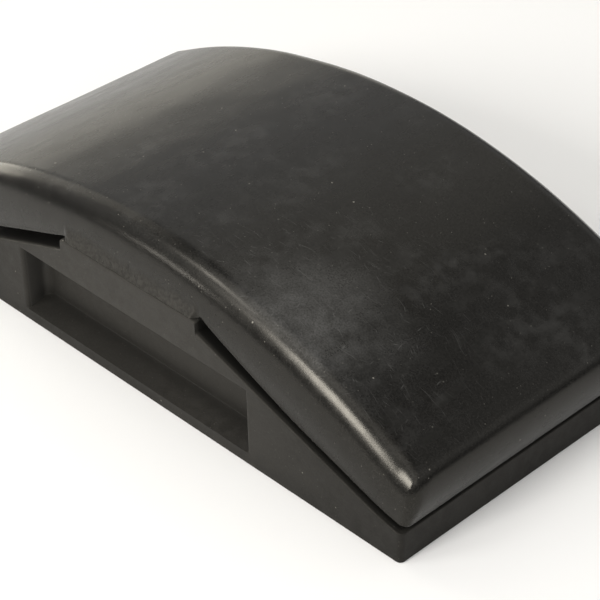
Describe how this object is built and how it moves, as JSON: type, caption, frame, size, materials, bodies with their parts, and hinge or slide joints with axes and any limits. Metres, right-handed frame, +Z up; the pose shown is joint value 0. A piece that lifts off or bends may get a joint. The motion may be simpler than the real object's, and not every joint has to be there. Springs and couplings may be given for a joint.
{
  "type": "sanding block",
  "caption": "Arched rubber hand sanding block with a flat sole, finger recesses and hinged end flaps that clamp the ends of a paper strip on hidden nails.",
  "frame": {"origin": "middle of the sole", "axes": "+X along the block towards the front flap, +Y across the block, +Z up from the sole"},
  "size_m": [0.127, 0.07, 0.0323],
  "materials": {
    "base_rubber": "matte moulded black rubber, faintly dusty",
    "cover_rubber": "satin moulded black rubber with fine scratches",
    "nail_steel": "drawn steel wire with a ground point"
  },
  "bodies": {
    "block": {"base": "base_rubber", "crown": "cover_rubber", "front_nail_right": "nail_steel", "front_nail_middle": "nail_steel", "front_nail_left": "nail_steel", "rear_nail_right": "nail_steel", "rear_nail_middle": "nail_steel", "rear_nail_left": "nail_steel"},
    "front_flap": {"front_flap": "cover_rubber"},
    "rear_flap": {"rear_flap": "cover_rubber"}
  },
  "joints": [
    {"name": "front_flap_hinge", "type": "hinge", "parent": "block", "child": "front_flap", "pos_m": [0.0173, 0, 0.03105], "axis": [0, -1, 0], "range_deg": [0, 50], "stiffness_Nm_per_rad": 3},
    {"name": "rear_flap_hinge", "type": "hinge", "parent": "block", "child": "rear_flap", "pos_m": [-0.0173, 0, 0.03105], "axis": [0, 1, 0], "range_deg": [-1.3, 50], "stiffness_Nm_per_rad": 3}
  ]
}
